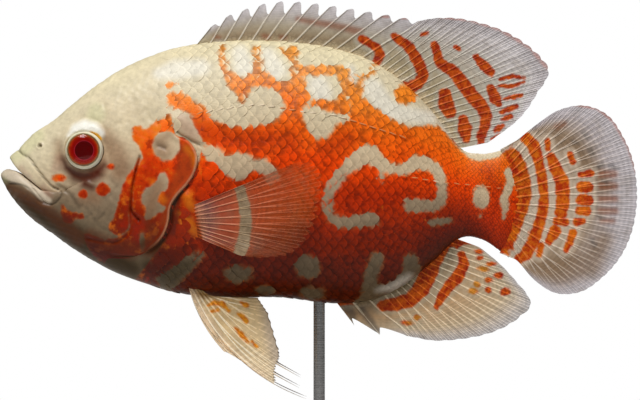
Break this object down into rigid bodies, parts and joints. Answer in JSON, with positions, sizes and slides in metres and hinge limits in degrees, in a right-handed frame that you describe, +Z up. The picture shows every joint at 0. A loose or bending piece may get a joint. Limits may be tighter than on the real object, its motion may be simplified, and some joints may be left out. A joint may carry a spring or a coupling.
{
  "type": "oscar fish model on a display stand",
  "caption": "Life-size model of a swimming red tiger oscar cichlid, held by a rod on a flat wooden base.",
  "frame": {"origin": "middle of the base's underside, where the stand meets what it rests on", "axes": "+Z up, the fish's head towards -X, its tail towards +X, its left side towards -Y"},
  "size_m": [0.2799, 0.08, 0.2005],
  "materials": {
    "head_skin": "moist scaleless skin, semi-gloss",
    "gill_skin": "scaled gill cover, semi-gloss",
    "body_scales": "overlapping scales, semi-gloss",
    "median_fin_membrane": "rayed membrane, satin",
    "paired_fin_membrane": "rayed membrane, satin, a little translucent",
    "eye": "clear wet cornea over a red iris",
    "walnut": "oiled walnut",
    "brushed_steel": "fine brushed"
  },
  "bodies": {
    "root": {"head": "head_skin", "lower_jaw": "head_skin", "gill_cover_left": "gill_skin", "gill_cover_right": "gill_skin", "trunk": "body_scales", "tail_stalk": "body_scales", "dorsal_fin": "median_fin_membrane", "anal_fin": "median_fin_membrane", "tail_fin": "median_fin_membrane", "pectoral_fin_left": "paired_fin_membrane", "pectoral_fin_right": "paired_fin_membrane", "pelvic_fin_left": "paired_fin_membrane", "pelvic_fin_right": "paired_fin_membrane", "eye_left": "eye", "eye_right": "eye", "stand_base": "walnut", "stand_rod": "brushed_steel"}
  },
  "joints": []
}
